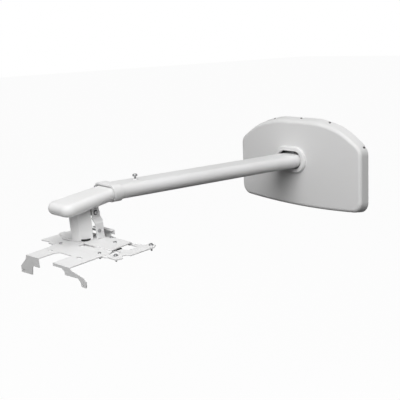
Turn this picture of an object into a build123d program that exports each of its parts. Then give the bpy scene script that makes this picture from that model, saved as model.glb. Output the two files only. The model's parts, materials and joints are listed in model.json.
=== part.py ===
from build123d import *
from math import atan2, cos, degrees, hypot, pi, sin, tan
import os

# Wall mount arm for a short throw projector, in millimetres.
# The wall is the plane Y = 0, the arm reaches out along -Y and +Z is up.
# The origin is on the wall, on the axis of the arm.

# Running clearance of a pin in its bore, and the gap between pieces that pass each other
pin_clearance = 0.05
free_gap = 0.3
hole_clearance = 0.25

# Heads of all screws, as shares of the shank's radius
head_ratio = 1.8
head_height_ratio = 1.3

# Wall cover, an arched moulding that tapers from the wall to its front.
# Its middle stands to the right of the arm.
cover_offset = 19.0
cover_half_width = 209.0
cover_top = 105.2
cover_bottom = 106.5
cover_sag = 9.4
cover_depth = 26.0
cover_wall = 2.5
cover_shoulder = 27.5
cover_corner = 27.0
cover_edge = 7.5
edge_steps = 5
draft_side = 2.5
draft_top = 6.8
# The arch between shoulder and crown, as shares of the half width and of the rise
arch_shares = [(0.90, 0.405), (0.63, 0.808), (0.355, 0.977)]

# Oval mouth of the cover round the arm, with a rounded lip
mouth_side_gap = 3.0
mouth_over = 8.8
mouth_under = 4.2
lip_width = 10.5
lip_height = 7.0

# Cover screws: one at the crown, and two along each half of the arch from the shoulder,
# each in a flat seat that runs out at the wall
cover_screw_places = [0.09, 0.595]
cover_screw_back = 6.0
cover_screw_radius = 1.5
cover_seat_radius = 4.5
cover_seat_depth = 1.2
spot_depth = 0.5
tab_width = 10.0
tab_length = 13.0
tab_clear_of_wall = 0.5

# Wall plate and its slotted holes
wall_plate_thickness = 3.0
wall_plate_inset = 4.8
wall_hole_spacing_x = 280.0
wall_hole_spacing_z = 90.0
wall_hole_radius = 4.5
wall_slot_length = 20.0

# Arm tube, a flat oval
tube_width = 77.0
tube_height = 31.0
tube_wall = 2.5
arm_reach = 560.5

# Socket that holds the arm to the wall plate
socket_flange_thickness = 5.0
socket_flange_width = 150.0
socket_flange_height = 64.0
socket_length = 70.0
socket_wall = 3.0
socket_clearance = 0.1
flange_bolt_spacing_x = 122.0
flange_bolt_spacing_z = 40.0
flange_bolt_radius = 4.0
clamp_screw_back = 9.0
clamp_screw_radius = 2.5

# Collar on the front end of the tube, open ahead of it for the head to move in
collar_wall = 3.2
collar_edge = 1.0
collar_length = 22.0
collar_overhang = 10.5
collar_mouth_half = 40.4
collar_mouth_top = 13.5
collar_mouth_bottom = 17.5

# Pivot block inside the tube's front end, with an upright pin
pivot_back = 4.5
block_width = 18.0
block_depth = 12.0
block_height = 16.0
turn_pin_radius = 2.5
tilt_pin_radius = 3.0

# Levelling bolt through the top of the tube
bolt_lever = 64.0
bolt_radius = 2.5
bolt_neck = 5.0
bolt_head_radius = 5.4
bolt_head_height = 4.8
nut_radius = 4.6
nut_height = 3.0

# Head: its heading, its slope down, and the moulded shell
head_yaw = 3.5
head_slope = 8.5
shell_height = 26.4
shell_wall = 2.2
shell_rear = 10.5
shell_rear_half_width = 35.2
shell_nose = 139.5
shell_nose_half_width = 42.3
shell_corner = 21.0
shell_flat_edge = 0.6
head_screw_place = (-24.4, -18.6)
boss_radius = 4.5

# Beam inside the head, on the pivot block and under the levelling bolt
beam_half_width = 17.0
beam_tail_half_width = 9.0
beam_top = -1.5
beam_thickness = 5.0
beam_front = 62.0
beam_tail_overlap = 8.0
ear_thickness = 3.4
ear_half_depth = 7.0
ear_top = 7.0

# Hanger frame: the plates' swivel axis passes near its origin, all below is set out in it
hanger_place = (4.05, -632.3, -94.9)
hanger_yaw = 5.5
hanger_slope = 3.7

# Hanger brackets, a cranked strip on each side of the lug
bracket_sheet = 2.5
bracket_upper_x = 16.0
bracket_lower_x = 27.0
bracket_front = 18.0
bracket_rear = 37.0
bracket_upper_front = 20.0
bracket_upper_rear = 38.0
bracket_step_rear = 39.7
bracket_step_height = 59.0
bracket_crank_height = 37.0
bracket_top = 77.0
bracket_foot_reach = 19.0

# Lug of the head between the brackets, with the hanger's tilt bolt and lock bolt
tilt_bolt_y = 28.6
tilt_bolt_z = 57.4
tilt_bolt_radius = 3.0
lock_bolt_z = 69.6
lock_bolt_radius = 2.0
lock_slot_travel = 1.5
lug_half_depth = 7.3
lug_top = 82.0

# Cross bolt through the lower ends of the brackets
cross_bolt_y = 24.4
cross_bolt_z = 21.4
cross_bolt_radius = 2.0
foot_screw_places = [(13.5, 23.0), (21.2, 21.0)]
foot_screw_radius = 1.5

# Shroud post in front of the brackets
post_outline = [(-25.7, -11.0), (-11.5, -10.9), (2.7, -8.3), (18.8, 16.2), (-25.7, 16.2)]
post_wall = 1.8
post_edge = 2.0
post_top = 76.0
post_floor = 2.0
opening_margin = 3.2

# Sheet thicknesses of the plates
top_sheet = 2.5
plate_sheet = 2.0
plate_gap = 0.4

# Turntable plate under the post
top_outline = [
    (-96, 19), (-94, 4.6), (-72, -4), (-60, -11), (112, -11), (105, 46), (46, 46), (42, 41.5), (22, 41.5),
    (18, 46), (-35, 46), (-47, 20),
]

# Frame plate under it
frame_outline = [
    (-103, -37), (-74, -35), (-60, -37.5), (-39, -37.5), (-35, -42), (117, -42), (132, -36), (158, -37),
    (162, -23), (148, -15), (150, -6), (161, -3), (161, 58), (150, 71), (139, 71), (128, 57),
    (111, 52), (34, 52), (34, 60), (-32, 60), (-34, 52), (-103, 40),
]
rear_window = [(88, 15), (129, 15), (129, 42), (88, 42)]
front_window = [(112, -20), (128, -20), (128, 0), (112, 0)]
cable_window = [(12, -28), (24, -28), (24, -10), (12, -10)]
window_corner = 3.0
# Slots behind the rear window: middle, length and width
rear_slots = [((100.5, 47.0), (11.0, 3.5)), ((114.0, 49.0), (8.0, 3.0))]

# Upright flange along the frame plate's rear edge, with a lip folded forward
rear_flange_ends = (-32.0, 32.0)
rear_flange_back = 60.0
rear_flange_top = 15.0
rear_flange_lip = 9.0
rear_flange_notch = (19.0, 4.5)

# Adapter plate with two claws folded down along its front
fold_line = -118.0
left_arm = (-30.0, 14.0)
right_arm = (65.0, 122.0)
cutout_rear = -72.0
adapter_rear = -10.0
adapter_notch = (17.0, 58.0, -25.0)
cutout_corners = (10.0, 5.0)
arm_slot_size = (16.0, 7.0)
arm_slot_places = [(-10.0, -75.0), (88.0, -72.0)]
lug_hole_place = (-43.0, -42.0)
lug_hole_radius = 2.6
left_claw = [(-30, 0), (-33, -9), (-55, -27), (-56, -41), (-16, -40), (-12, -23), (-5, -20), (14, -20), (14, 0)]
right_claw = [
    (65, 0), (66, -6), (94, -6), (103, -11), (104, -18), (147, -17), (153, -23), (156, -32),
    (169, -32), (171, -26), (171, -19), (165, -13), (126, -5), (122, 0),
]
claw_corner = 0.8
claw_hole_radius = 1.8
left_claw_hole = (-47.0, -36.0)
right_claw_hole = (161.5, -26.0)

# Swivel of the plates under the hanger
swivel_centre = (5.0, 4.0)
spindle_radius = 5.0
spindle_flange_radius = 8.0
spindle_flange = 2.5
washer_radius = 10.8
washer_height = 3.2
post_gap = 0.5
swivel_range = 8.0

# Screws of the head and of the plates
screw_radius = 2.0
screw_washer_radius = 5.2
screw_washer_thickness = 1.0
screw_nut_radius = 4.0
screw_nut_height = 3.2
adapter_screw_places = [(-31.0, -35.0), (101.0, -33.0)]
frame_screw_places = [(137.0, -21.0), (145.0, 63.0), (31.5, 50.5)]
frame_screw_stub = 10.0
adapter_screw_stub = 7.0
clamp_place = (76.5, 25.0)
pad_corner = (92.0, 1.0)
pad_size = (20.0, 13.5)

# Levels of the plates in the hanger frame
adapter_top = 0.0
frame_top = adapter_top - plate_sheet
frame_bottom = frame_top - plate_sheet
top_bottom = adapter_top + plate_gap
top_top = top_bottom + top_sheet
washer_top = top_top + washer_height
post_bottom = top_top + post_gap

# Places along the arm
pivot_y = pivot_back - arm_reach
rim_y = -arm_reach - collar_overhang
socket_face = -wall_plate_thickness - socket_flange_thickness
mouth_height = tube_height + mouth_over + mouth_under
mouth_middle = (mouth_over - mouth_under) / 2
mouth_width = tube_width + 2 * mouth_side_gap

# Frames of the head and of the hanger
head = Pos(0, pivot_y, 0) * Rot(Z=head_yaw) * Rot(X=head_slope)
hanger = Pos(*hanger_place) * Rot(Z=hanger_yaw) * Rot(X=hanger_slope)


def upright(y):
    return Plane.XZ.offset(-y)


def along_arm(profile, start, end):
    return extrude(upright(start) * profile, start - end)


def sheet(outline, low, high, corner=0.0):
    profile = make_face(Polyline(*outline, close=True))
    if corner:
        profile = fillet(profile.vertices(), corner)
    return extrude(Pos(0, 0, low) * profile, high - low)


def rod(place, radius, low, high):
    return Pos(place[0], place[1], (low + high) / 2) * Cylinder(radius, high - low)


def ring(place, outer, inner, low, high):
    return rod(place, outer, low, high) - rod(place, inner, low, high)


# Screw with its head standing on Z = 0 and its shank below
def screw(radius, length, head_radius=0, head_height=0):
    head_radius = head_radius or head_ratio * radius
    head_height = head_height or head_height_ratio * radius
    cap = rod((0, 0), head_radius, 0, head_height)
    cap = fillet(cap.edges().group_by(Axis.Z)[-1], head_height * 0.3)
    socket = Pos(0, 0, head_height / 2) * extrude(RegularPolygon(head_radius * 0.5, 6), head_height)
    return cap - socket + rod((0, 0), radius, -length, 0)


def nut(radius, bore, height):
    return extrude(RegularPolygon(radius, 6) - Circle(bore), height)


# Bolt across the hanger along X, its head on the right bracket and its nut on the left one
def cross_fastener(y, z, radius, reach):
    bolt = screw(radius, 2 * reach + screw_nut_height + radius / 2)
    bolt += Pos(0, 0, -2 * reach - screw_nut_height) * nut(2 * radius, radius, screw_nut_height)
    return Pos(reach, y, z) * Rot(Y=90) * bolt


# Left half of the arch, from the shoulder to the crown
def arch_half(half, top, shoulder):
    rise = top - shoulder
    points = [(-share * half, shoulder + up * rise) for share, up in arch_shares]
    return Spline((-half, shoulder), *points, (0, top), tangents=[(0, 1), (1, 0)])


def cover_face(half, top, bottom, shoulder, corner):
    left_arch = arch_half(half, top, shoulder)
    right_arch = mirror(left_arch, about=Plane.YZ)
    down = Line((half, shoulder), (half, -bottom))
    under = ThreePointArc((half, -bottom), (0, -bottom - cover_sag), (-half, -bottom))
    up = Line((-half, -bottom), (-half, shoulder))
    face = make_face([left_arch, right_arch, down, under, up])
    return fillet(face.vertices().sort_by(Axis.Y)[:2], corner)


# Section of the cover at one depth, drawn in by the draft and by the roll of the front edge
def cover_section(depth, inset, roll):
    share = depth / cover_depth
    shrink = inset + roll + draft_side * share
    top = cover_top - inset - roll - draft_top * share
    corner = cover_corner - inset - roll
    face = cover_face(cover_half_width - shrink, top, cover_bottom - shrink, cover_shoulder, corner)
    return upright(-depth) * Pos(cover_offset, 0) * face


# Solid of the cover's shape, set in from the outside by one wall for its hollow
def cover_solid(inset):
    radius = cover_edge - inset
    straight = cover_depth - cover_edge
    walls = loft([cover_section(0, inset, 0), cover_section(straight, inset, 0)])
    rolled = [cover_section(straight, inset, 0)]
    for step in range(1, edge_steps + 1):
        angle = pi / 2 * step / edge_steps
        rolled.append(cover_section(straight + radius * sin(angle), inset, radius * (1 - cos(angle))))
    return walls + loft(rolled)


# Planes on the cover's wall at its screws, with Z outward and X towards the front
def cover_screw_planes():
    rear_arch = arch_half(cover_half_width, cover_top, cover_shoulder)
    front_arch = arch_half(cover_half_width - draft_side, cover_top - draft_top, cover_shoulder)
    spots = [(place, side) for place in cover_screw_places for side in (1, -1)] + [(1, 1)]
    planes = []
    for place, side in spots:
        rear = rear_arch.position_at(place)
        inward = front_arch.position_at(place) - rear
        along = rear_arch.tangent_at(place)
        slope = Vector(side * inward.X, -cover_depth, inward.Y).normalized()
        outward = slope.cross(Vector(side * along.X, 0, along.Y)) * side
        edge = Vector(cover_offset + side * rear.X, 0, rear.Y)
        planes.append(Plane(edge + slope * cover_screw_back, x_dir=slope, z_dir=outward))
    return planes


# Depth of the cover's inner face under a plane on its outside
def wall_under(plane):
    return cover_wall * (abs(plane.z_dir.X) + abs(plane.z_dir.Z))


def wall_cover():
    body = cover_solid(0)
    lip_profile = SlotOverall(mouth_width + 2 * lip_width, mouth_height + 2 * lip_width)
    lip = along_arm(Pos(0, mouth_middle) * lip_profile, cover_wall - cover_depth, -cover_depth - lip_height)
    lip = fillet(lip.faces().sort_by(Axis.Y)[0].edges(), lip_height * 0.55)
    body = body + lip - cover_solid(cover_wall)
    mouth = along_arm(Pos(0, mouth_middle) * SlotOverall(mouth_width, mouth_height), 0, -2 * cover_depth)
    body -= mouth
    wide = 2 * cover_seat_radius
    for plane in cover_screw_planes():
        body -= plane * rod((0, 0), cover_screw_radius + hole_clearance, -2 * cover_wall, 2 * cover_wall)
        body -= plane * rod((0, 0), cover_seat_radius, -cover_seat_depth, cover_depth)
        run_out = Pos(-cover_screw_back, 0, -cover_seat_depth) * Box(
            2 * cover_screw_back, wide, cover_depth, align=(Align.CENTER, Align.CENTER, Align.MIN)
        )
        body -= plane * run_out
    return body


def cover_screws():
    one = screw(cover_screw_radius, 3 * cover_wall)
    one = Pos(0, 0, -cover_seat_depth) * one
    return [plane * one for plane in cover_screw_planes()]


def wall_plate():
    inset = wall_plate_inset
    outline = cover_face(
        cover_half_width - inset, cover_top - inset, cover_bottom - inset, cover_shoulder, cover_corner - inset
    )
    body = along_arm(Pos(cover_offset, 0) * outline, 0, -wall_plate_thickness)
    tab_start = tab_clear_of_wall - cover_screw_back
    for plane in cover_screw_planes():
        tab_depth = -wall_under(plane) - free_gap - bracket_sheet / 2
        tab = Pos(tab_start + tab_length / 2, 0, tab_depth) * Box(tab_length, tab_width, bracket_sheet)
        body += plane * tab
        body -= plane * rod((0, 0), cover_screw_radius, -4 * cover_wall, 0)
    slot = SlotOverall(wall_slot_length, 2 * wall_hole_radius)
    for place in GridLocations(wall_hole_spacing_x, wall_hole_spacing_z, 2, 2):
        body -= along_arm(place * slot, 0, -wall_plate_thickness)
    for place in flange_bolt_grid():
        body -= along_arm(place * Circle(flange_bolt_radius), 0, -wall_plate_thickness)
    behind = Box(3 * cover_half_width, tab_length, 3 * cover_top, align=(Align.CENTER, Align.MIN, Align.CENTER))
    return body - behind


def flange_bolt_grid():
    return GridLocations(flange_bolt_spacing_x, flange_bolt_spacing_z, 2, 2)


# Flange on the wall plate with an oval spigot that the arm tube slides over
def arm_socket():
    flange = RectangleRounded(socket_flange_width, socket_flange_height, 10)
    body = along_arm(flange, -wall_plate_thickness, socket_face)
    outer_width = tube_width - 2 * tube_wall - 2 * socket_clearance
    outer_height = tube_height - 2 * tube_wall - 2 * socket_clearance
    outer = SlotOverall(outer_width, outer_height)
    inner = SlotOverall(outer_width - 2 * socket_wall, outer_height - 2 * socket_wall)
    body += along_arm(outer, socket_face, socket_face - socket_length)
    body -= along_arm(inner, -wall_plate_thickness, socket_face - socket_length)
    for place in flange_bolt_grid():
        body -= along_arm(place * Circle(flange_bolt_radius), -wall_plate_thickness, socket_face)
    for side in (1, -1):
        body -= side_bore(side, clamp_screw_radius)
    return body


def flange_bolts():
    one = screw(flange_bolt_radius, -socket_face)
    return [Pos(p.position.X, socket_face, p.position.Y) * Rot(X=90) * one for p in flange_bolt_grid()]


def side_bore(side, radius):
    place = (0, socket_face - clamp_screw_back)
    low, high = sorted((side * (tube_height / 2 + 1), side * (tube_height / 2 - tube_wall - socket_wall - 1)))
    return rod(place, radius, low, high)


# Short screws that clamp the tube on its socket, over and under, behind the cover
def clamp_screws():
    one = screw(clamp_screw_radius, tube_wall + socket_wall)
    place = Pos(0, socket_face - clamp_screw_back, 0)
    return [place * Rot(X=turn) * Pos(0, 0, tube_height / 2) * one for turn in (0, 180)]


def arm_tube():
    inner = SlotOverall(tube_width - 2 * tube_wall, tube_height - 2 * tube_wall)
    body = along_arm(SlotOverall(tube_width, tube_height) - inner, socket_face, -arm_reach)
    for side in (1, -1):
        body -= side_bore(side, clamp_screw_radius)
    reach = tube_height
    body -= rod((0, pivot_y), turn_pin_radius + pin_clearance, -reach, reach)
    return body - rod((0, pivot_y + bolt_lever), bolt_radius + hole_clearance, 0, reach)


def end_collar():
    grow = 2 * collar_wall
    outer = SlotOverall(tube_width + grow, tube_height + grow)
    body = along_arm(outer, rim_y + collar_length, rim_y)
    rims = body.edges().group_by(Axis.Y)
    body = fillet(rims[0] + rims[-1], collar_edge)
    body -= along_arm(SlotOverall(tube_width, tube_height), rim_y + collar_length, -arm_reach)
    mouth = SlotOverall(2 * collar_mouth_half, collar_mouth_top + collar_mouth_bottom)
    middle = (collar_mouth_top - collar_mouth_bottom) / 2
    return body - along_arm(Pos(0, middle) * mouth, -arm_reach, rim_y)


def level_nut():
    low = tube_height / 2
    place = (0, pivot_y + bolt_lever)
    return ring(place, nut_radius, bolt_radius + pin_clearance, low, low + nut_height)


# Height of the beam's tail under the levelling bolt
def bolt_tip():
    slope = tan(head_slope * pi / 180)
    return bolt_lever * slope + beam_top + free_gap + (bolt_radius * slope) ** 2 / 2


def levelling_bolt():
    neck_top = tube_height / 2 + nut_height + bolt_neck
    bolt = screw(bolt_radius, neck_top - bolt_tip(), bolt_head_radius, bolt_head_height)
    bolt = fillet(bolt.edges().group_by(Axis.Z)[0], bolt_radius * 0.6)
    return Pos(0, pivot_y + bolt_lever, neck_top) * bolt


# Block that turns on an upright pin in the tube and carries the tilt pin
def pivot_block():
    body = Box(block_width, block_depth, block_height)
    body = fillet(body.edges().filter_by(Axis.Z), 2)
    reach = tube_height / 2 - 0.2
    body += rod((0, 0), turn_pin_radius, -reach, reach)
    body = Pos(0, pivot_y, 0) * body
    bore = Rot(Y=90) * Cylinder(tilt_pin_radius + pin_clearance, 2 * block_width)
    return body - head * bore


def tilt_pin():
    half = block_width / 2 + free_gap + ear_thickness
    return head * (Rot(Y=90) * Cylinder(tilt_pin_radius, 2 * half))


def beam_solid():
    inner = block_width / 2 + free_gap + 1
    window = block_depth / 2 + 3
    low = beam_top - beam_thickness
    tail = bolt_lever + beam_tail_overlap
    body = Pos(0, (window + 2 - beam_front) / 2) * Rectangle(2 * beam_half_width, beam_front + window + 2)
    body += Pos(0, tail / 2) * Rectangle(2 * beam_tail_half_width, tail)
    body -= Rectangle(2 * inner, 2 * window)
    body = extrude(Pos(0, 0, low) * body, beam_thickness)
    for side in (1, -1):
        middle = side * (block_width / 2 + free_gap + ear_thickness / 2)
        ear = Pos(middle, 0, (low + ear_top) / 2) * Box(ear_thickness, 2 * ear_half_depth, ear_top - low)
        body += ear
    body -= Rot(Y=90) * Cylinder(tilt_pin_radius, 2 * beam_half_width)
    boss_top = shell_height / 2 - shell_wall
    x, y = head_screw_place
    arm = Pos(x / 2, y, (low + beam_top) / 2) * Box(abs(x), 2 * boss_radius, beam_thickness)
    boss = rod((x, y), boss_radius, low, boss_top) & head_solid(shell_wall + hole_clearance)
    body += arm + boss
    return body - rod((x, y), screw_radius, beam_top, boss_top)


def lug_solid():
    half = bracket_upper_x - bracket_sheet - free_gap
    side = make_face(
        Polyline(
            (tilt_bolt_y - lug_half_depth, tilt_bolt_z),
            (tilt_bolt_y - lug_half_depth, lug_top),
            (tilt_bolt_y + lug_half_depth, lug_top),
            (tilt_bolt_y + lug_half_depth, tilt_bolt_z),
            close=True,
        )
    )
    side += Pos(tilt_bolt_y, tilt_bolt_z) * Circle(lug_half_depth)
    side -= Pos(tilt_bolt_y, tilt_bolt_z) * Circle(tilt_bolt_radius + pin_clearance)
    slot_height = 2 * (lock_bolt_radius + hole_clearance)
    side -= Pos(tilt_bolt_y, lock_bolt_z) * SlotOverall(slot_height + 2 * lock_slot_travel, slot_height)
    return extrude(Plane.YZ.offset(-half) * side, 2 * half)


def head_beam():
    return head * beam_solid() + hanger * lug_solid()


# Solid of the head's shape, set in from the outside by one wall for its hollow
def head_solid(inset):
    rear = -shell_rear + 2 * inset
    nose = -shell_nose + inset
    rear_half = shell_rear_half_width - inset
    nose_half = shell_nose_half_width - inset
    height = shell_height - 2 * inset
    plan = make_face(
        Polyline((-rear_half, rear), (-nose_half, nose), (nose_half, nose), (rear_half, rear), close=True)
    )
    plan = fillet(plan.vertices().sort_by(Axis.Y)[:2], shell_corner - inset)
    solid = extrude(Pos(0, 0, -height / 2) * plan, height)
    rims = [edge for edge in solid.edges() if edge.center().Y < rear - 1 and abs(edge.center().Z) > 1]
    return fillet(rims, (height - shell_flat_edge) / 2)


# Opening under the head that the post and the brackets rise through
def head_opening():
    left = min(x for x, y in post_outline) - opening_margin
    front = min(y for x, y in post_outline) - opening_margin
    right = bracket_upper_x + 8
    rear = bracket_upper_rear + opening_margin
    outline = [(left, front), (right, front), (right, rear), (left, rear)]
    return sheet(outline, bracket_top - 18, bracket_top + 6, window_corner)


def head_shell():
    x, y = head_screw_place
    body = head_solid(0) - head_solid(shell_wall)
    body -= rod((x, y), screw_radius + hole_clearance, 0, shell_height)
    seat = shell_height / 2 - spot_depth
    body -= rod((x, y), head_ratio * screw_radius + hole_clearance, seat, shell_height)
    return head * body - hanger * head_opening()


def head_screw():
    x, y = head_screw_place
    one = screw(screw_radius, shell_wall + 2 * boss_radius)
    return head * (Pos(x, y, shell_height / 2 - spot_depth) * one)


def bracket():
    sheet_fold = bracket_sheet * tan(pi / 8)
    inner_upper = bracket_upper_x - bracket_sheet
    inner_lower = bracket_lower_x - bracket_sheet
    shelf_rise = bracket_lower_x - bracket_upper_x
    crank = bracket_crank_height
    foot_inner = bracket_lower_x - bracket_foot_reach
    profile = Polyline(
        (foot_inner, top_top),
        (bracket_lower_x, top_top),
        (bracket_lower_x, crank),
        (bracket_upper_x, crank + shelf_rise),
        (bracket_upper_x, bracket_top),
        (inner_upper, bracket_top),
        (inner_upper, crank + shelf_rise - sheet_fold),
        (inner_lower, crank - sheet_fold),
        (inner_lower, top_top + bracket_sheet),
        (foot_inner, top_top + bracket_sheet),
        close=True,
    )
    body = extrude(upright(bracket_step_rear) * make_face(profile), bracket_step_rear - bracket_front)
    outer_bends = [
        edge
        for edge in body.edges().filter_by(Axis.Y)
        if edge.center().X > bracket_lower_x - 0.1 and edge.center().Z < crank + 1
    ]
    body = fillet(outer_bends, bracket_sheet * 0.8)
    upper = crank + shelf_rise
    wide = 4 * bracket_lower_x
    body -= slab(wide, bracket_front, bracket_upper_front, upper, bracket_top)
    body -= slab(wide, bracket_rear, bracket_step_rear, top_top, crank + 2)
    body -= slab(wide, bracket_upper_rear, bracket_step_rear, bracket_step_height, bracket_top)
    bore = Rot(Y=90)
    body -= Pos(0, tilt_bolt_y, tilt_bolt_z) * bore * Cylinder(tilt_bolt_radius, wide)
    body -= Pos(0, tilt_bolt_y, lock_bolt_z) * bore * Cylinder(lock_bolt_radius, wide)
    body -= Pos(0, cross_bolt_y, cross_bolt_z) * bore * Cylinder(cross_bolt_radius, wide)
    for place in foot_screw_places:
        body -= rod(place, foot_screw_radius, top_top, top_top + bracket_sheet)
    return body


def slab(width, front, rear, low, high):
    return Pos(0, (front + rear) / 2, (low + high) / 2) * Box(width, rear - front, high - low)


def foot_screws():
    one = screw(foot_screw_radius, bracket_sheet + top_sheet)
    spots = [(side * x, y) for side in (1, -1) for x, y in foot_screw_places]
    return [Pos(x, y, top_top + bracket_sheet) * one for x, y in spots]


def tilt_bolt():
    return cross_fastener(tilt_bolt_y, tilt_bolt_z, tilt_bolt_radius, bracket_upper_x)


def lock_bolt():
    return cross_fastener(tilt_bolt_y, lock_bolt_z, lock_bolt_radius, bracket_upper_x)


def cross_bolt():
    return cross_fastener(cross_bolt_y, cross_bolt_z, cross_bolt_radius, bracket_lower_x)


def post():
    profile = make_face(Polyline(*post_outline, close=True))
    outer = fillet(profile.vertices(), post_edge)
    inner = offset(outer, -post_wall)
    body = extrude(Pos(0, 0, post_bottom) * outer, post_top - post_bottom)
    body -= extrude(Pos(0, 0, post_bottom + post_floor) * inner, post_top - post_bottom)
    return body - rod(swivel_centre, washer_radius + free_gap, post_bottom, washer_top + free_gap)


# Thick black washer round the spindle's head, in a notch of the post's foot
def friction_washer():
    return ring(swivel_centre, washer_radius, spindle_flange_radius + free_gap, top_top, washer_top)


def top_plate():
    body = sheet(top_outline, top_bottom, top_top, 2)
    body -= rod(swivel_centre, spindle_radius + pin_clearance, top_bottom, top_top)
    body -= rod(clamp_place, screw_radius, top_bottom, top_top)
    for side in (1, -1):
        for x, y in foot_screw_places:
            body -= rod((side * x, y), foot_screw_radius, top_bottom, top_top)
    return body


# Screw that clamps the turntable plate to the frame plate through an arc slot
def clamp_screw():
    foot = frame_bottom - free_gap
    body = Pos(0, 0, top_top) * screw(screw_radius, top_top - foot + 2.5 * screw_radius)
    body += Pos(0, 0, foot - screw_nut_height) * nut(screw_nut_radius, screw_radius, screw_nut_height)
    return Pos(*clamp_place) * body


# Arc slot about the swivel centre, wide enough for the clamp screw over its travel
def clamp_slot():
    x = clamp_place[0] - swivel_centre[0]
    y = clamp_place[1] - swivel_centre[1]
    radius = hypot(x, y)
    half_width = screw_radius + hole_clearance
    span = swivel_range + 1
    middle = degrees(atan2(y, x))
    arc = CenterArc((0, 0), radius, middle - span, 2 * span)
    band = SlotArc(arc, 2 * half_width)
    return extrude(Pos(*swivel_centre, frame_bottom) * band, plate_sheet)


def rear_flange():
    left, right = rear_flange_ends
    back = rear_flange_back
    front = back - plate_sheet
    wall = Pos((left + right) / 2, 0, 0) * slab(right - left, front, back, frame_bottom, rear_flange_top)
    notch_start, notch_top = rear_flange_notch
    notch = Pos((notch_start + right) / 2 + 1, 0, 0) * slab(right - notch_start + 2, front, back, frame_top, notch_top)
    lip_low = rear_flange_top - plate_sheet
    lip = slab(right - left, back - rear_flange_lip, back, lip_low, rear_flange_top)
    return wall - notch + Pos((left + right) / 2, 0, 0) * lip


def frame_plate():
    body = sheet(frame_outline, frame_bottom, frame_top, 1.5)
    for window in (rear_window, front_window, cable_window):
        body -= sheet(window, frame_bottom, frame_top, window_corner)
    for place, size in rear_slots:
        body -= extrude(Pos(*place, frame_bottom) * SlotOverall(*size), plate_sheet)
    body -= clamp_slot()
    body -= rod(swivel_centre, spindle_radius, frame_bottom, frame_top)
    for place in adapter_screw_places + frame_screw_places:
        body -= rod(place, screw_radius, frame_bottom, frame_top)
    return body + rear_flange()


def spindle():
    low = frame_bottom - spindle_flange
    high = top_top + free_gap
    flange = spindle_flange_radius
    body = rod(swivel_centre, spindle_radius, low, high + spindle_flange)
    body += rod(swivel_centre, flange, low, frame_bottom)
    body += rod(swivel_centre, flange, frame_top, top_bottom - free_gap)
    return body + rod(swivel_centre, flange, high, high + spindle_flange)


def adapter_outline():
    left_low, left_high = left_arm
    right_low, right_high = right_arm
    notch_left, notch_right, notch_front = adapter_notch
    return [
        (left_low, fold_line), (left_high, fold_line), (left_high, cutout_rear),
        (right_low - 2, cutout_rear), (right_low, fold_line), (right_high, fold_line),
        (right_high - 3, -45), (right_high + 1, -27), (right_high - 10, adapter_rear),
        (notch_right, adapter_rear), (notch_right, notch_front), (notch_left, notch_front),
        (notch_left, adapter_rear), (-22, adapter_rear), (-56, -33), (-62, -45), (-42, -47), (-34, -62),
    ]


def claw(outline, hole):
    profile = make_face(Polyline(*outline, close=True))
    lower = [vertex for vertex in profile.vertices() if vertex.Y < -1]
    profile = fillet(lower, claw_corner) - Pos(*hole) * Circle(claw_hole_radius)
    return along_arm(profile, fold_line, fold_line - plate_sheet)


def adapter_plate():
    profile = make_face(Polyline(*adapter_outline(), close=True))
    corners = profile.vertices().filter_by(lambda v: abs(v.Y - cutout_rear) < 0.1).sort_by(Axis.X)
    profile = fillet(corners[0], cutout_corners[0])
    corner = profile.vertices().filter_by(lambda v: abs(v.Y - cutout_rear) < 0.1).sort_by(Axis.X)[-1]
    profile = fillet(corner, cutout_corners[1])
    for place in arm_slot_places:
        profile -= Pos(*place) * SlotOverall(*arm_slot_size)
    profile -= Pos(*lug_hole_place) * Circle(lug_hole_radius)
    for place in adapter_screw_places:
        profile -= Pos(*place) * Circle(screw_radius)
    body = extrude(Pos(0, 0, frame_top) * profile, plate_sheet)
    return body + claw(left_claw, left_claw_hole) + claw(right_claw, right_claw_hole)


def nutted_screw(top, washer, stub):
    body = screw(screw_radius, top + washer - frame_bottom + stub)
    body = Pos(0, 0, top + washer) * body
    return body + Pos(0, 0, frame_bottom - screw_nut_height) * nut(screw_nut_radius, screw_radius, screw_nut_height)


def adapter_screws():
    one = nutted_screw(adapter_top, 0, adapter_screw_stub)
    return [Pos(*place) * one for place in adapter_screw_places]


def frame_screws():
    washer = screw_washer_thickness
    one = nutted_screw(frame_top, washer, frame_screw_stub)
    one += ring((0, 0), screw_washer_radius, screw_radius, frame_top, frame_top + washer)
    return [Pos(*place) * one for place in frame_screw_places]


# Black slide pad between the frame plate and the turntable plate
def slide_pad():
    x, y = pad_corner
    width, depth = pad_size
    outline = [(x, y), (x + width, y), (x + width, y + depth), (x, y + depth)]
    return sheet(outline, frame_top, top_bottom - free_gap)


def save(name, shape):
    solids = shape if isinstance(shape, list) else [shape]
    pieces = [solid for piece in solids for solid in piece.solids()]
    whole = pieces[0] if len(pieces) == 1 else Compound(children=pieces)
    export_step(whole, f"parts/{name}.step")


def on_hanger(shape):
    if isinstance(shape, list):
        return [hanger * piece for piece in shape]
    return hanger * shape


os.makedirs("parts", exist_ok=True)

save("wall_plate", wall_plate())
save("wall_cover", wall_cover())
save("cover_screws", cover_screws())
save("arm_socket", arm_socket())
save("flange_bolts", flange_bolts())
save("arm_tube", arm_tube())
save("clamp_screws", clamp_screws())
save("end_collar", end_collar())
save("level_nut", level_nut())
save("levelling_bolt", levelling_bolt())
save("pivot_block", pivot_block())
save("tilt_pin", tilt_pin())
save("head_beam", head_beam())
save("head_shell", head_shell())
save("head_screw", head_screw())

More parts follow.
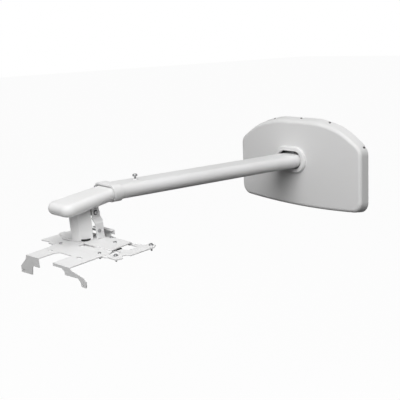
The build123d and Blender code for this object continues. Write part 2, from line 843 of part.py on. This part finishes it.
right_bracket = bracket()
save("bracket_right", on_hanger(right_bracket))
save("bracket_left", on_hanger(mirror(right_bracket, about=Plane.YZ)))
save("foot_screws", on_hanger(foot_screws()))
save("tilt_bolt", on_hanger(tilt_bolt()))
save("lock_bolt", on_hanger(lock_bolt()))
save("cross_bolt", on_hanger(cross_bolt()))
save("post", on_hanger(post()))
save("friction_washer", on_hanger(friction_washer()))
save("top_plate", on_hanger(top_plate()))
save("clamp_screw", on_hanger(clamp_screw()))
save("frame_plate", on_hanger(frame_plate()))
save("spindle", on_hanger(spindle()))
save("adapter_plate", on_hanger(adapter_plate()))
save("adapter_screws", on_hanger(adapter_screws()))
save("frame_screws", on_hanger(frame_screws()))
save("slide_pad", on_hanger(slide_pad()))
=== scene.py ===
import json
from math import cos, pi, radians, sin

import bmesh
import bpy
import numpy
from mathutils import Matrix, Vector


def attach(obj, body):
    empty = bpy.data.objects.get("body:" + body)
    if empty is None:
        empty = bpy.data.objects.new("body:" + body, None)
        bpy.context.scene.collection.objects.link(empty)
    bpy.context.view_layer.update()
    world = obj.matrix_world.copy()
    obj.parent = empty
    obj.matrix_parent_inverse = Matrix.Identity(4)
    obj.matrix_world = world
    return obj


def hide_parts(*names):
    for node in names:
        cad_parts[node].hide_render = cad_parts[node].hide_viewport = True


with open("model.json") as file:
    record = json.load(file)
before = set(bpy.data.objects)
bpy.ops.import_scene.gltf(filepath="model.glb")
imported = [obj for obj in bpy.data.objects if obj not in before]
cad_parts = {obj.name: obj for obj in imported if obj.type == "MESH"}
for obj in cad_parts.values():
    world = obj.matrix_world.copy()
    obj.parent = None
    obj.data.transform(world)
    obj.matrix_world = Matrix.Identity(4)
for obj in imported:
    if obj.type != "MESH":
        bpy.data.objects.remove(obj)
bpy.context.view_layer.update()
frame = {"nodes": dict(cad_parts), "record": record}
nodes = frame["nodes"]
scene = bpy.context.scene
print("frame loaded:", len(nodes), "nodes")


# A socket that can be added and multiplied like a number, from either side

class Value:
    def __init__(self, tree, socket):
        self.tree = tree
        self.socket = socket

    def combine(self, operation, first, second):
        math = self.tree.nodes.new("ShaderNodeMath")
        math.operation = operation
        for place, part in enumerate((first, second)):
            if isinstance(part, Value):
                self.tree.links.new(part.socket, math.inputs[place])
            else:
                math.inputs[place].default_value = part
        return Value(self.tree, math.outputs[0])

    def __add__(self, other):
        return self.combine("ADD", self, other)

    def __radd__(self, other):
        return self.combine("ADD", other, self)

    def __mul__(self, other):
        return self.combine("MULTIPLY", self, other)

    def __rmul__(self, other):
        return self.combine("MULTIPLY", other, self)


# A node tree, with one method that adds any node: its kind, settings, and socket values

class Tree:
    def __init__(self, tree):
        self.tree = tree

    def node(self, kind, settings, values, out=0):
        made = self.tree.nodes.new(kind)
        for setting, choice in settings.items():
            setattr(made, setting, choice)
        for name, value in values.items():
            self.feed(made.inputs[name], value)
        return None if out is None else Value(self.tree, made.outputs[out])

    def feed(self, socket, value):
        if isinstance(value, Value):
            self.tree.links.new(value.socket, socket)
        else:
            socket.default_value = value


# A material with its shader and the patterns that its makers share

class Finish(Tree):
    def __init__(self, name):
        self.material = bpy.data.materials.new(name)
        self.material.use_nodes = True
        super().__init__(self.material.node_tree)
        self.shader = self.tree.nodes["Principled BSDF"]
        self.place = self.node("ShaderNodeTexCoord", {}, {}, "Object")

    def put(self, **values):
        for name, value in values.items():
            self.feed(self.shader.inputs[name.replace("_", " ")], value)

    def noise(self, scale, detail=2.0, roughness=0.5):
        values = {"Vector": self.place, "Scale": scale, "Detail": detail, "Roughness": roughness}
        return self.node("ShaderNodeTexNoise", {}, values, "Fac")

    def cells(self, scale):
        return self.node("ShaderNodeTexVoronoi", {}, {"Vector": self.place, "Scale": scale}, "Distance")

    def spread(self, value, low, high):
        values = {"Value": value, "From Min": low, "From Max": high}
        return self.node("ShaderNodeMapRange", {"clamp": True}, values)

    def blend(self, share, first, second):
        values = {"Factor": share, 6: first, 7: second}
        return self.node("ShaderNodeMix", {"data_type": "RGBA"}, values, 2)

    def bump(self, height, strength, distance):
        values = {"Strength": strength, "Distance": distance, "Height": height}
        return self.node("ShaderNodeBump", {}, values, "Normal")


# A colour from one level, a little warmer where asked
def grey(level, warm=0.0):
    return (level * (1 + warm), level, level * (1 - warm), 1.0)


# Powder coat on the arm and the sheet parts: fine orange peel, a soft sheen; the two darker tones are painted
# shade for the beam inside the head
powderCoat = {
    "pale": 0.80, "dull": 0.765, "paintedShadePale": 0.60, "paintedShadeDull": 0.56, "peel": 520, "grain": 1500,
    "cloud": 9, "rough": 0.52, "speckShare": 0.25, "strength": 0.35, "relief": 0.00012, "gloss": 0.3,
}


def makePowderCoat(name, pale, dull):
    f = Finish(name)
    peel = f.noise(powderCoat["peel"], 2.0)
    grain = f.noise(powderCoat["grain"], 3.0, 0.6)
    cloud = f.spread(f.noise(powderCoat["cloud"], 3.0, 0.55), 0.3, 0.7)
    speck = f.spread(grain, 0.62, 0.74)
    coat = f.blend(cloud, grey(dull, 0.004), grey(pale, -0.002))
    f.put(Base_Color=f.blend(speck * powderCoat["speckShare"], coat, grey(dull * 0.9)))
    f.put(Roughness=powderCoat["rough"] - 0.05 + grain * 0.08 + cloud * 0.04)
    f.put(Normal=f.bump(peel * 0.7 + grain * 0.3, powderCoat["strength"], powderCoat["relief"]))
    f.put(Specular_IOR_Level=powderCoat["gloss"])
    return f.material


# Moulded plastic of the wall cover and the head: a spark eroded matt grain
moulding = {
    "pale": 0.79, "dull": 0.76, "grain": 1900, "pits": 1140, "flow": 5, "rough": 0.52,
    "strength": 0.30, "relief": 0.00008, "gloss": 0.3,
}


def makeMoulding():
    f = Finish("mouldedWhite")
    grain = f.noise(moulding["grain"], 2.0, 0.7)
    pits = f.cells(moulding["pits"])
    flow = f.spread(f.noise(moulding["flow"], 2.0), 0.25, 0.75)
    f.put(Base_Color=f.blend(flow, grey(moulding["dull"], 0.004), grey(moulding["pale"], 0.001)))
    f.put(Roughness=moulding["rough"] - 0.04 + pits * 0.10 + flow * 0.03)
    f.put(Normal=f.bump(grain * 0.5 + pits * 0.5, moulding["strength"], moulding["relief"]))
    f.put(Specular_IOR_Level=moulding["gloss"])
    return f.material


# Bright zinc plate on screws, bolts and nuts, clouded and faintly blue in spots
zincPlate = {
    "bright": 0.52, "dull": 0.32, "tint": (0.60, 0.63, 0.70, 1.0), "grain": 1600, "cloud": 240,
    "rough": 0.26, "strength": 0.2, "relief": 0.00004,
}


def makeZinc():
    f = Finish("zincPlate")
    grain = f.noise(zincPlate["grain"], 2.0, 0.6)
    cloud = f.spread(f.noise(zincPlate["cloud"], 2.0), 0.3, 0.7)
    steel = f.blend(cloud, grey(zincPlate["dull"]), grey(zincPlate["bright"]))
    f.put(Base_Color=f.blend(f.spread(grain, 0.45, 0.75) * 0.5, steel, zincPlate["tint"]))
    f.put(Roughness=zincPlate["rough"] - 0.06 + grain * 0.16)
    f.put(Normal=f.bump(grain, zincPlate["strength"], zincPlate["relief"]))
    f.put(Metallic=1.0)
    return f.material


# Galvanised sheet and raw steel of the pieces behind the cover and inside the arm
galvanised = {
    "bright": 0.62, "dull": 0.50, "spangle": 140, "grain": 900, "rough": 0.36,
    "strength": 0.15, "relief": 0.00005,
}


def makeRawSteel():
    f = Finish("galvanisedSteel")
    spangle = f.cells(galvanised["spangle"])
    fine = f.noise(galvanised["grain"], 3.0, 0.6)
    f.put(Base_Color=f.blend(f.spread(spangle, 0.1, 0.6), grey(galvanised["dull"]),
                             grey(galvanised["bright"], -0.01)))
    f.put(Roughness=galvanised["rough"] + fine * 0.12 + spangle * 0.08)
    f.put(Normal=f.bump(fine, galvanised["strength"], galvanised["relief"]))
    f.put(Metallic=1.0)
    return f.material


# Black oxide on the cover screws and on the rings under the hanger's bolts
oxide = {
    "bright": 0.17, "dull": 0.11, "grain": 1400, "rough": 0.38, "metal": 0.6,
    "strength": 0.2, "relief": 0.00004,
}


def makeBlackOxide():
    f = Finish("blackOxide")
    fine = f.noise(oxide["grain"], 2.0, 0.6)
    f.put(Base_Color=f.blend(f.spread(fine, 0.35, 0.7), grey(oxide["dull"]), grey(oxide["bright"])))
    f.put(Roughness=oxide["rough"] + fine * 0.15)
    f.put(Normal=f.bump(fine, oxide["strength"], oxide["relief"]))
    f.put(Metallic=oxide["metal"])
    return f.material


# Black rubber of the friction washer and the slide pad, with a little dust
rubberSkin = {
    "deep": 0.012, "dusty": 0.035, "dustShare": 0.4, "dust": 60, "grain": 1100, "rough": 0.62,
    "strength": 0.4, "relief": 0.0001,
}


def makeRubber():
    f = Finish("blackRubber")
    fine = f.noise(rubberSkin["grain"], 3.0, 0.65)
    dust = f.spread(f.noise(rubberSkin["dust"], 3.0), 0.45, 0.8)
    share = dust * rubberSkin["dustShare"]
    f.put(Base_Color=f.blend(share, grey(rubberSkin["deep"]), grey(rubberSkin["dusty"])))
    f.put(Roughness=rubberSkin["rough"] + fine * 0.2)
    f.put(Normal=f.bump(fine, rubberSkin["strength"], rubberSkin["relief"]))
    return f.material


whiteCoat = makePowderCoat("whitePowderCoat", powderCoat["pale"], powderCoat["dull"])
# The same white coat made darker for the beam inside the head: painted shade, not a grey paint
paintedShadeCoat = makePowderCoat("whiteCoatPaintedShade", powderCoat["paintedShadePale"], powderCoat["paintedShadeDull"])
whiteMoulding = makeMoulding()
zinc = makeZinc()
rawSteel = makeRawSteel()
blackOxide = makeBlackOxide()
rubber = makeRubber()

# The finish of each node; what isn't named here is zinc plated
finishes = {
    "arm_tube": whiteCoat, "end_collar": whiteCoat, "bracket_right": whiteCoat, "bracket_left": whiteCoat,
    "post": whiteCoat, "top_plate": whiteCoat, "frame_plate": whiteCoat, "adapter_plate": whiteCoat,
    # The beam inside the head takes the darker copy of the white coat, painted shade
    "level_nut": whiteCoat, "wall_cover": whiteMoulding, "head_shell": whiteMoulding, "head_beam": paintedShadeCoat,
    "wall_plate": rawSteel, "arm_socket": rawSteel, "pivot_block": rawSteel, "spindle": rawSteel,
    "cover_screws": blackOxide, "friction_washer": rubber, "slide_pad": rubber,
}
for name, node in nodes.items():
    finish = finishes.get(name, zinc)
    for place in range(len(node.material_slots)):
        node.material_slots[place].material = finish
print("finishes laid on", len(nodes), "nodes")


mergeGap = 0.000002  # corners closer than this are one


# Starts a piece in edit mode from a primitive that has just been added
def startPiece(name):
    piece = bpy.context.object
    piece.name = name
    bpy.ops.object.mode_set(mode="EDIT")
    bpy.ops.mesh.select_all(action="SELECT")
    return piece


# Closes the seams and turns the faces outwards, back in object mode
def closeMesh():
    bpy.ops.mesh.select_all(action="SELECT")
    bpy.ops.mesh.remove_doubles(threshold=mergeGap)
    bpy.ops.mesh.normals_make_consistent(inside=False)
    bpy.ops.object.mode_set(mode="OBJECT")


def chooseOnly(*pieces):
    bpy.ops.object.select_all(action="DESELECT")
    for piece in pieces:
        piece.select_set(True)
    bpy.context.view_layer.objects.active = pieces[0]


# Round piece about Z: one corner point drawn out along (radius, height) points, then spun
def spinPiece(name, points, steps):
    bpy.ops.object.select_all(action="DESELECT")
    bpy.ops.mesh.primitive_plane_add(size=0.001, location=(0, 0, 0))
    piece = startPiece(name)
    bpy.ops.mesh.merge(type="CENTER")
    bpy.ops.transform.translate(value=(points[0][0], 0, points[0][1]))
    for last, point in zip(points, points[1:]):
        move = (point[0] - last[0], 0, point[1] - last[1])
        bpy.ops.mesh.extrude_vertices_move(TRANSFORM_OT_translate={"value": move})
    bpy.ops.mesh.select_all(action="SELECT")
    bpy.ops.mesh.spin(steps=steps, angle=2 * pi, center=(0, 0, 0), axis=(0, 0, 1))
    closeMesh()
    return piece


# What all screws share: the dome as shares of the head's radius and rise, the thread and
# the tip as shares of the shank, the key socket, and the easing of nuts and washers
screwForm = {
    "dome": [(0, 1), (0.66, 1), (0.82, 0.96), (0.93, 0.84), (0.985, 0.66), (1, 0.45), (1, 0.10), (0.97, 0)],
    "pitch": 0.36, "root": 0.87, "mostThread": 0.9, "plainTip": 0.4, "tip": 0.72, "steps": 28,
    "valley": (0.35, 0.5), "flank": 0.85, "socket": 0.5, "socketDepth": 0.62, "socketTaper": 0.94,
    "socketCone": 0.35, "socketPoint": 0.05, "nutEase": 0.10, "washerEase": 0.2, "washerSteps": 36,
}


# Six-sided nut with eased corners, its top at the height given
def nutPiece(radius, height, top):
    bpy.ops.object.select_all(action="DESELECT")
    place = (0, 0, top - height / 2)
    bpy.ops.mesh.primitive_cylinder_add(vertices=6, radius=radius, depth=height, location=place)
    piece = startPiece("hexNut")
    bpy.ops.mesh.bevel(offset=height * screwForm["nutEase"], segments=3, affect="EDGES")
    closeMesh()
    bpy.ops.object.transform_apply(location=True, rotation=False, scale=False)
    return piece


# Takes the cutter's shape out of the piece, and removes the cutter
def cutAway(piece, cutter):
    chooseOnly(piece)
    bpy.ops.object.modifier_add(type="BOOLEAN")
    cut = piece.modifiers[-1]
    cut.operation = "DIFFERENCE"
    cut.object = cutter
    cut.solver = "EXACT"
    bpy.ops.object.modifier_apply(modifier=cut.name)
    bpy.data.objects.remove(cutter, do_unlink=True)


# Tapered six-sided key socket, sunk into a head's top
def keySocket(piece, radius, depth, top):
    bpy.ops.object.select_all(action="DESELECT")
    place = (0, 0, top + radius - depth)
    bpy.ops.mesh.primitive_cylinder_add(vertices=6, radius=radius, depth=2 * radius, location=place)
    cutter = startPiece("socketCutter")
    bpy.ops.mesh.select_mode(type="VERT")
    bpy.ops.mesh.select_all(action="DESELECT")
    shape = bmesh.from_edit_mesh(cutter.data)
    for corner in shape.verts:
        corner.select = corner.co.z < 0
    shape.select_flush_mode()
    taper, point = screwForm["socketTaper"], screwForm["socketPoint"]
    cone = (0, 0, -radius * screwForm["socketCone"])
    bpy.ops.transform.resize(value=(taper, taper, 1))
    bpy.ops.mesh.extrude_region_move(TRANSFORM_OT_translate={"value": cone})
    bpy.ops.transform.resize(value=(point, point, 1))
    closeMesh()
    cutAway(piece, cutter)


# Threaded screw: domed head standing on Z = 0, rolled thread down to a chamfered tip
def screwPiece(plan):
    head, rise, shank, length = plan["head"], plan["rise"], plan["shank"], plan["length"]
    points = [(head * out, rise * up) for out, up in screwForm["dome"]]
    points += [(shank, 0)]
    start = length - min(length * screwForm["mostThread"], plan["thread"])
    pitch = shank * screwForm["pitch"]
    root = shank * screwForm["root"]
    turns = int((length - start - shank * screwForm["plainTip"]) / pitch)
    points.append((shank, -start))
    for turn in range(turns):
        crest = -start - turn * pitch
        points += [(root, crest - pitch * share) for share in screwForm["valley"]]
        points += [(shank, crest - pitch * share) for share in (screwForm["flank"], 1)]
    points += [(shank * screwForm["tip"], -length), (0, -length)]
    piece = spinPiece("screw", points, screwForm["steps"])
    keySocket(piece, head * screwForm["socket"], rise * screwForm["socketDepth"], rise)
    if "nut" in plan:
        addTo(piece, nutPiece(plan["nut"], plan["nutRise"], plan["nutTop"]))
    if "washer" in plan:
        addTo(piece, washerPiece(shank, plan["washer"], plan["washerRise"], 0))
    return piece


# Flat ring with eased rims, its upper face at the height given
def washerPiece(inner, outer, thickness, top):
    edge = thickness * screwForm["washerEase"]
    low = top - thickness
    points = [(inner, top), (outer - edge, top), (outer, top - edge), (outer, low + edge),
              (outer - edge, low), (inner, low), (inner, top)]
    return spinPiece("washer", points, screwForm["washerSteps"])


def addTo(piece, extra):
    chooseOnly(piece, extra)
    bpy.ops.object.join()


# Where the screws of a node stand in the CAD: axis, centre line, and the height of each end
def standsOf(name, lean):
    shape = bmesh.new()
    shape.from_mesh(nodes[name].data)
    bmesh.ops.remove_doubles(shape, verts=shape.verts, dist=mergeGap)
    met = set()
    stands = []
    for start in shape.verts:
        grow = [] if start in met else [start]
        met.add(start)
        part = []
        while grow:
            corner = grow.pop()
            part.append(tuple(corner.co))
            others = [edge.other_vert(corner) for edge in corner.link_edges]
            fresh = [other for other in others if other not in met]
            met.update(fresh)
            grow += fresh
        if part:
            stands.append(standOf(numpy.array(part), Vector(lean)))
    shape.free()
    return stands


# One screw's axis is the way in which its points spread most unlike the other two ways
def standOf(part, lean):
    spread, ways = numpy.linalg.eigh(numpy.cov(part.T))
    place = 2 if spread[2] - spread[1] > spread[1] - spread[0] else 0
    axis = Vector(ways[:, place])
    if axis.dot(lean) < 0:
        axis = -axis
    side = axis.orthogonal().normalized()
    over = axis.cross(side)
    turn = Matrix((side, over, axis)).transposed()
    local = part @ numpy.array(turn)
    low, high = local.min(axis=0), local.max(axis=0)
    middle = turn @ Vector(((low[0] + high[0]) / 2, (low[1] + high[1]) / 2, 0))
    return {"turn": turn, "middle": middle, "top": float(high[2]), "bottom": float(low[2])}


# Screws and bolts in metres: which way the head points, its radius and rise, shank,
# threaded run, and the nut, washer or ring where there is one
fasteners = {
    "cover_screws": {"lean": (0, -0.2, 1), "head": 0.0027, "rise": 0.00195, "shank": 0.0015, "thread": 0.006},
    "head_screw": {"lean": (0, 0, 1), "head": 0.0036, "rise": 0.0026, "shank": 0.002, "thread": 0.006},
    "foot_screws": {"lean": (0, 0, 1), "head": 0.0027, "rise": 0.00195, "shank": 0.0015, "thread": 0.004},
    "adapter_screws": {"lean": (0, 0, 1), "head": 0.0036, "rise": 0.0026, "shank": 0.002, "thread": 0.008,
                       "nut": 0.004, "nutRise": 0.0032, "nutTop": -0.004},
    "frame_screws": {"lean": (0, 0, 1), "head": 0.0036, "rise": 0.0026, "shank": 0.002, "thread": 0.011,
                     "nut": 0.004, "nutRise": 0.0032, "nutTop": -0.003,
                     "washer": 0.0052, "washerRise": 0.001},
    "clamp_screw": {"lean": (0, 0, 1), "head": 0.0036, "rise": 0.0026, "shank": 0.002, "thread": 0.006,
                    "nut": 0.004, "nutRise": 0.0032, "nutTop": -0.0072},
    "levelling_bolt": {"lean": (0, 0, 1), "head": 0.0054, "rise": 0.0047, "shank": 0.0022, "thread": 0.030},
    "lock_bolt": {"lean": (1, 0, 0), "head": 0.0029, "rise": 0.0018, "shank": 0.002, "thread": 0.006,
                  "nut": 0.004, "nutRise": 0.0032, "nutTop": -0.0328, "ring": 0.0040, "ringRise": 0.0008},
    "tilt_bolt": {"lean": (1, 0, 0), "head": 0.0039, "rise": 0.0029, "shank": 0.003, "thread": 0.006,
                  "nut": 0.006, "nutRise": 0.0032, "nutTop": -0.033, "ring": 0.0054, "ringRise": 0.0010},
    "cross_bolt": {"lean": (1, 0, 0), "head": 0.0036, "rise": 0.0026, "shank": 0.002, "thread": 0.006,
                   "nut": 0.004, "nutRise": 0.0032, "nutTop": -0.054},
}


# The body that a node moves with
def bodyOf(name):
    bodies = frame["record"]["behaviour"]["bodies"]
    return [body for body, held in bodies.items() if name in held][0]


smoothUnder = {"screws": 32, "sheets": 50}  # degrees between faces that shade as one


# A finished model is copied to a stand, with its own mesh, and rides where its node does
def setCopy(model, title, name, stand, rise, finish):
    copy = bpy.data.objects.new(title, model.data.copy())
    scene.collection.objects.link(copy)
    seat = stand["middle"] + stand["turn"] @ Vector((0, 0, stand["top"] - rise))
    copy.data.transform(Matrix.Translation(seat) @ stand["turn"].to_4x4())
    copy.data.materials.clear()
    copy.data.materials.append(finish)
    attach(copy, bodyOf(name))
    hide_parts(name)


# Models a node's screw once and sets a copy at each of its stands
def setFasteners(name, plan):
    stands = standsOf(name, plan["lean"])
    first = stands[0]
    model = screwPiece(dict(plan, length=first["top"] - first["bottom"] - plan["rise"]))
    slot = "dark_screw" if name == "cover_screws" else "zinc"
    models = [("screw", model, finishes.get(name, zinc), slot)]
    if "ring" in plan:
        ring = washerPiece(plan["shank"], plan["ring"], plan["ringRise"], 0)
        models.append(("ring", ring, blackOxide, "dark_screw"))
    for kind, model, finish, slot in models:
        chooseOnly(model)
        bpy.ops.object.shade_smooth_by_angle(angle=radians(smoothUnder["screws"]))
        for place, stand in enumerate(stands):
            setCopy(model, f"{name}.{kind}{place + 1}", name, stand, plan["rise"], finish)
        bpy.data.objects.remove(model, do_unlink=True)
    return len(stands)


made = sum(setFasteners(name, plan) for name, plan in fasteners.items())
print("screws and bolts made:", made)


# Cut sheet edges are eased a little, as tumbling and the coat leave them: widths in metres
easedSheets = {
    "adapter_plate": 0.00030, "frame_plate": 0.00030, "top_plate": 0.00035,
    "bracket_right": 0.00035, "bracket_left": 0.00035, "post": 0.00035,
}


easing = {"flat": 0.5, "sharp": 40, "segments": 2, "weight": 100}  # the first two in degrees


# Merges a copy of the node's mesh, bevels its sharp edges and evens its shading
def easeEdges(name, width):
    piece = bpy.data.objects.new(f"{name}.eased", nodes[name].data.copy())
    scene.collection.objects.link(piece)
    chooseOnly(piece)
    bpy.ops.object.mode_set(mode="EDIT")
    bpy.ops.mesh.select_all(action="SELECT")
    bpy.ops.mesh.customdata_custom_splitnormals_clear()
    bpy.ops.mesh.remove_doubles(threshold=mergeGap)
    bpy.ops.mesh.dissolve_limited(angle_limit=radians(easing["flat"]))
    bpy.ops.object.mode_set(mode="OBJECT")
    bpy.ops.object.modifier_add(type="BEVEL")
    bevel = piece.modifiers[-1]
    bevel.width = width
    bevel.segments = easing["segments"]
    bevel.limit_method = "ANGLE"
    bevel.angle_limit = radians(easing["sharp"])
    bevel.use_clamp_overlap = True
    bpy.ops.object.modifier_apply(modifier=bevel.name)
    bpy.ops.object.shade_smooth_by_angle(angle=radians(smoothUnder["sheets"]))
    bpy.ops.object.modifier_add(type="WEIGHTED_NORMAL")
    weighted = piece.modifiers[-1]
    weighted.weight = easing["weight"]
    weighted.keep_sharp = True
    bpy.ops.object.modifier_apply(modifier=weighted.name)
    piece.data.materials.clear()
    piece.data.materials.append(finishes[name])
    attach(piece, bodyOf(name))
    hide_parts(name)


for name, width in easedSheets.items():
    easeEdges(name, width)
print("sheet edges eased:", len(easedSheets))


# The photograph's view: where the camera stands, how it is turned, and its lens
view = {"place": (1.4873, -1.4592, 0.3182), "heading": 52.5, "down": 11.3, "roll": 2.45, "lens": 74.7}


# Sets the camera from its place, heading, tilt down and roll
def placeCamera():
    heading = radians(view["heading"])
    down = radians(view["down"])
    roll = radians(view["roll"])
    forward = Vector((-sin(heading) * cos(down), cos(heading) * cos(down), -sin(down)))
    right = Vector((cos(heading), sin(heading), 0))
    up = right.cross(forward)
    turnedRight = right * cos(roll) - up * sin(roll)
    turnedUp = up * cos(roll) + right * sin(roll)
    lens = bpy.data.cameras.new("photoCamera")
    lens.lens = view["lens"]
    lens.sensor_width = 36
    lens.clip_start = 0.05
    camera = bpy.data.objects.new("photoCamera", lens)
    scene.collection.objects.link(camera)
    turn = Matrix((turnedRight, turnedUp, -forward)).transposed()
    camera.matrix_world = Matrix.Translation(view["place"]) @ turn.to_4x4()
    scene.camera = camera


# Pale floor and air, near white to the eye; the tones are the light that they send back
studio = {
    "floorLevel": -0.62, "floorSize": 40, "floorTone": 0.06, "floorPale": 0.9, "paleShare": 0.96,
    "skyTone": 0.27, "groundTone": 0.0, "white": 1.0, "mirrored": 0.4,
}


# Share of the white that a ray meets: all of it for the eye, part of it in a gloss
def seenShare(f, share):
    kind = "ShaderNodeLightPath"
    camera = f.node(kind, {}, {}, "Is Camera Ray")
    through = f.node(kind, {}, {}, "Is Transmission Ray")
    glossy = f.node(kind, {}, {}, "Is Glossy Ray")
    seen = camera + through + glossy * studio["mirrored"]
    return seen.combine("MINIMUM", seen, 1.0) * share


def makeFloor():
    place = (0, 0, studio["floorLevel"])
    bpy.ops.mesh.primitive_plane_add(size=studio["floorSize"], location=place)
    floor = bpy.context.object
    floor.name = "studioFloor"
    f = Finish("paleFloor")
    tone = studio["floorTone"]
    paint = f.blend(f.noise(0.6), grey(tone), grey(tone * 1.04))
    f.put(Base_Color=f.blend(seenShare(f, 1.0), paint, grey(studio["floorPale"])))
    f.put(Roughness=0.9, Specular_IOR_Level=0.0)
    output = f.tree.nodes["Material Output"]
    coat = Value(f.tree, f.shader.outputs[0])
    glow = f.node("ShaderNodeEmission", {}, {"Color": grey(1.0), "Strength": studio["white"]})
    seen = seenShare(f, studio["paleShare"])
    f.feed(output.inputs["Surface"], f.node("ShaderNodeMixShader", {}, {0: seen, 1: coat, 2: glow}))
    floor.data.materials.append(f.material)


# The air round the object: white to the eye, a soft sky for light, dark below
def makeSky():
    world = bpy.data.worlds.new("studioAir")
    world.use_nodes = True
    scene.world = world
    f = Tree(world.node_tree)
    f.tree.nodes.clear()
    place = f.node("ShaderNodeTexCoord", {}, {}, "Generated")
    height = f.node("ShaderNodeSeparateXYZ", {}, {0: place}, "Z")
    values = {"Value": height, "From Min": -0.05, "From Max": 0.35,
              "To Min": studio["groundTone"], "To Max": studio["skyTone"]}
    soft = f.node("ShaderNodeBackground", {}, {"Strength": f.node("ShaderNodeMapRange", {}, values)})
    white = f.node("ShaderNodeBackground", {}, {"Color": grey(1.0), "Strength": studio["white"]})
    mix = f.node("ShaderNodeMixShader", {}, {0: seenShare(f, 1.0), 1: soft, 2: white})
    f.node("ShaderNodeOutputWorld", {}, {"Surface": mix}, None)


# Soft boxes: a broad one high on the camera's side, a weak one overhead
lamps = {
    "key": {"place": (1.04, -1.63, 1.43), "aim": (0.05, -0.3, 0.0), "size": 2.2, "power": 54.0},
    "overhead": {"place": (0.387, -0.687, 1.504), "aim": (0.0, -0.3, 0.0), "size": 1.0, "power": 4.5},
}


def makeLamp(name, plan):
    lamp = bpy.data.lights.new(name, "AREA")
    lamp.size = plan["size"]
    lamp.energy = plan["power"]
    holder = bpy.data.objects.new(name, lamp)
    scene.collection.objects.link(holder)
    holder.location = plan["place"]
    aim = Vector(plan["aim"]) - Vector(plan["place"])
    holder.rotation_euler = aim.to_track_quat("-Z", "Y").to_euler()


placeCamera()
makeFloor()
makeSky()
for name, plan in lamps.items():
    makeLamp(name, plan)
scene.view_settings.view_transform = "Standard"
print("studio ready")
